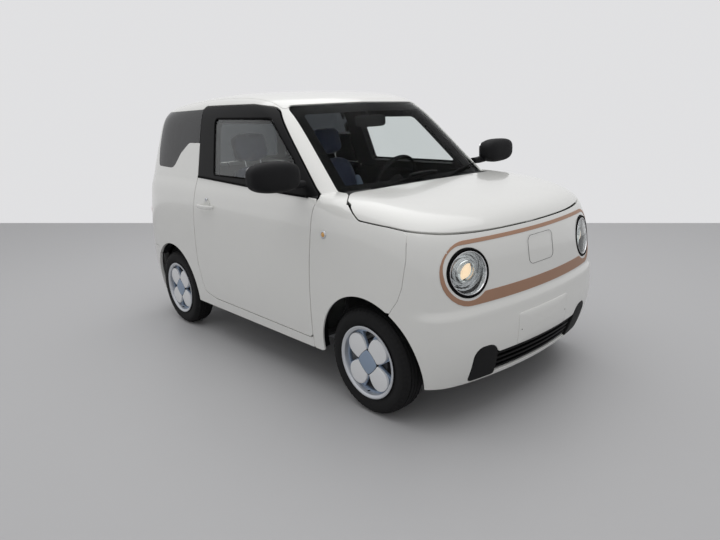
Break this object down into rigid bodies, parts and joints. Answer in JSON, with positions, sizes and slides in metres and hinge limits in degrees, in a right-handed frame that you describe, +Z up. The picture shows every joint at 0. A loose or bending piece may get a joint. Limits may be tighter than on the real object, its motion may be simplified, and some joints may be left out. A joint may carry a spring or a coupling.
{
  "type": "microcar",
  "caption": "Two-door four-seat electric microcar with opening doors, hood and tailgate, steered front wheels and a ring-framed nose.",
  "frame": {"origin": "on the ground under the middle of the car's length and width", "axes": "-Y to the front, +Y to the rear, -X to the car's right side, +Z up"},
  "size_m": [2.08, 3.0651, 1.6008],
  "materials": {
    "paint": "gloss warm white",
    "black_trim": "satin black",
    "dark_glass": "dark tint",
    "clear_glass": "clear",
    "copper": "satin copper",
    "lamp": "clear lens",
    "red_lamp": "red lens",
    "mirror_shell": "textured dark grey",
    "interior": "dark",
    "navy_fabric": "woven navy",
    "tyre": "matt black",
    "rim_silver": "satin silver",
    "steel": "plain",
    "casting": "dark coat",
    "underbody": "dark coat",
    "mass_block": "plain"
  },
  "bodies": {
    "body": {"side_frame_right": "paint", "side_frame_left": "paint", "quarter_windows": "dark_glass", "fender_right": "paint", "fender_left": "paint", "front_bumper": "paint", "lower_grille": "black_trim", "front_ring": "copper", "headlamp_right": "lamp", "headlamp_left": "lamp", "roof_panel": "paint", "windshield": "clear_glass", "cowl_panel": "black_trim", "rear_bumper": "paint", "tail_lamps": "red_lamp", "front_suspension": "casting", "rear_axle": "casting", "front_structure": "underbody", "floor_pan": "underbody", "front_seat_right": "navy_fabric", "front_seat_left": "navy_fabric", "rear_bench": "navy_fabric", "dashboard": "interior", "inner_mirror": "black_trim", "battery_pack": "mass_block", "motor_unit": "mass_block"},
    "door_right_body": {"door_right": "paint", "door_glass_right": "dark_glass", "mirror_right": "mirror_shell"},
    "door_left_body": {"door_left": "paint", "door_glass_left": "dark_glass", "mirror_left": "mirror_shell"},
    "hood_body": {"hood": "paint"},
    "tailgate_body": {"tailgate": "paint", "tailgate_glass": "dark_glass"},
    "steering_wheel_body": {"steering_wheel": "interior"},
    "knuckle_right_body": {"knuckle_right": "casting"},
    "knuckle_left_body": {"knuckle_left": "casting"},
    "wheel_front_right": {"tyre_front_right": "tyre", "rim_front_right": "rim_silver"},
    "wheel_front_left": {"tyre_front_left": "tyre", "rim_front_left": "rim_silver"},
    "wheel_rear_right": {"tyre_rear_right": "tyre", "rim_rear_right": "rim_silver"},
    "wheel_rear_left": {"tyre_rear_left": "tyre", "rim_rear_left": "rim_silver"}
  },
  "joints": [
    {"name": "steer_right", "type": "hinge", "parent": "body", "child": "knuckle_right_body", "pos_m": [-0.603, -1.0245, 0.2665], "axis": [0, 0, 1], "range_deg": [-32, 32]},
    {"name": "steer_left", "type": "hinge", "parent": "body", "child": "knuckle_left_body", "pos_m": [0.603, -1.0245, 0.2665], "axis": [0, 0, 1], "range_deg": [-32, 32]},
    {"name": "steering_column", "type": "hinge", "parent": "body", "child": "steering_wheel_body", "pos_m": [0.33, -0.195, 0.986], "axis": [0, 0.9063, 0.4226], "range_deg": [-500, 500]},
    {"name": "door_right_hinge", "type": "hinge", "parent": "body", "child": "door_right_body", "pos_m": [-0.764, -0.719, 0.65], "axis": [0, 0, 1], "range_deg": [0, 65]},
    {"name": "door_left_hinge", "type": "hinge", "parent": "body", "child": "door_left_body", "pos_m": [0.764, -0.719, 0.65], "axis": [0, 0, -1], "range_deg": [0, 65]},
    {"name": "hood_hinge", "type": "hinge", "parent": "body", "child": "hood_body", "pos_m": [0, -0.795, 1.072], "axis": [-1, 0, 0], "range_deg": [0, 50]},
    {"name": "tailgate_hinge", "type": "hinge", "parent": "body", "child": "tailgate_body", "pos_m": [0, 1.277, 1.559], "axis": [1, 0, 0], "range_deg": [0, 80]},
    {"name": "wheel_front_right_spin", "type": "hinge", "parent": "knuckle_right_body", "child": "wheel_front_right", "pos_m": [-0.7, -1.0245, 0.2665], "axis": [1, 0, 0], "continuous": true},
    {"name": "wheel_front_left_spin", "type": "hinge", "parent": "knuckle_left_body", "child": "wheel_front_left", "pos_m": [0.7, -1.0245, 0.2665], "axis": [1, 0, 0], "continuous": true},
    {"name": "wheel_rear_right_spin", "type": "hinge", "parent": "body", "child": "wheel_rear_right", "pos_m": [-0.7, 0.9905, 0.2665], "axis": [1, 0, 0], "continuous": true},
    {"name": "wheel_rear_left_spin", "type": "hinge", "parent": "body", "child": "wheel_rear_left", "pos_m": [0.7, 0.9905, 0.2665], "axis": [1, 0, 0], "continuous": true}
  ],
  "couplings": [
    {"joint": "steer_left", "follows": "steer_right", "ratio": 1},
    {"joint": "steering_column", "follows": "steer_right", "ratio": -15.6}
  ]
}
